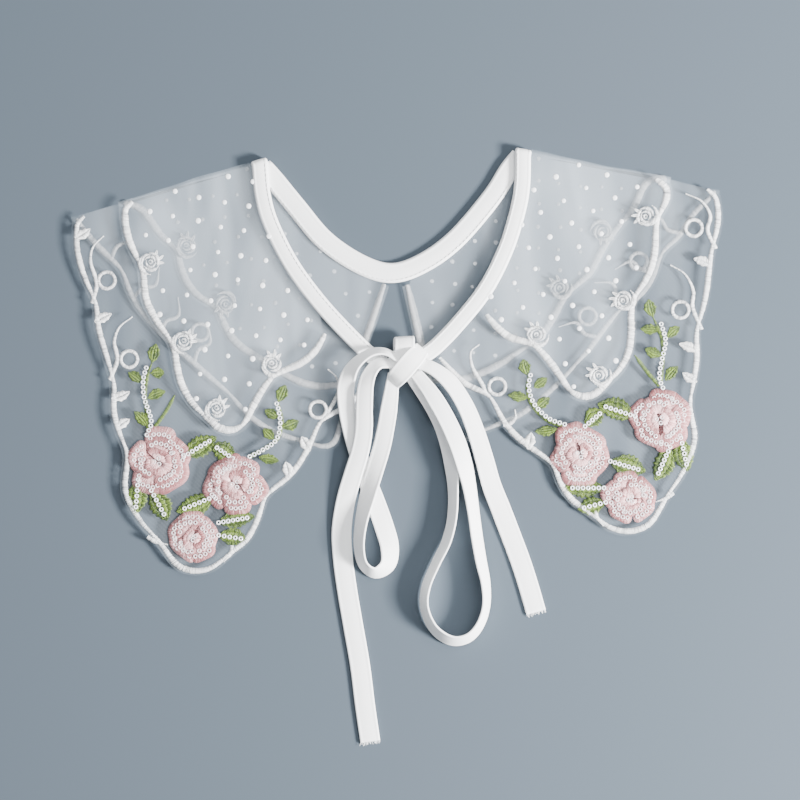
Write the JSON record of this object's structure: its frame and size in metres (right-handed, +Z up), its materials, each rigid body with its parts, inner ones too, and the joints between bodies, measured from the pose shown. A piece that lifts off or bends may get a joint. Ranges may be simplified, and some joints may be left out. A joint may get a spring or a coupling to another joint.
{
  "type": "detachable collar",
  "caption": "Detachable two-tier lace collar laid flat: scalloped sheer wings folded at the shoulders, a neck tape tied in a bow, raised roses.",
  "frame": {"origin": "centre of the collar's outline, on the surface that it lies on", "axes": "+Z up out of the surface; +Y from the hem and the bow's tails towards the neck's back; +X to the right wing, as seen from above"},
  "size_m": [0.3385, 0.3093, 0.0131],
  "materials": {
    "dotted_organza": "sheer white organza with woven dots, a faint sheen",
    "plain_organza": "sheer white organza, a faint sheen",
    "white_tape": "white crepe tape, soft and matt",
    "pink_thread": "pale pink satin stitch with clear sequins",
    "white_thread": "white satin stitch, silky",
    "green_thread": "leaf green satin stitch, silky",
    "sequin_film": "small pearl white ring sequins, glossy"
  },
  "bodies": {
    "root": {"upper_tier_left": "dotted_organza", "upper_tier_right": "dotted_organza", "lower_tier_left": "plain_organza", "lower_tier_right": "plain_organza", "neck_binding": "white_tape", "bow_knot": "white_tape", "bow_ear": "white_tape", "bow_loop_left": "white_tape", "bow_loop_right": "white_tape", "bow_tail_left": "white_tape", "bow_tail_right": "white_tape", "pink_rose_left_1": "pink_thread", "pink_rose_left_2": "pink_thread", "pink_rose_left_3": "pink_thread", "pink_rose_right_1": "pink_thread", "pink_rose_right_2": "pink_thread", "pink_rose_right_3": "pink_thread", "white_rose_left_1": "white_thread", "white_rose_left_2": "white_thread", "white_rose_left_3": "white_thread", "white_rose_left_4": "white_thread", "white_rose_right_1": "white_thread", "white_rose_right_2": "white_thread", "white_rose_right_3": "white_thread", "white_rose_right_4": "white_thread"}
  },
  "joints": []
}
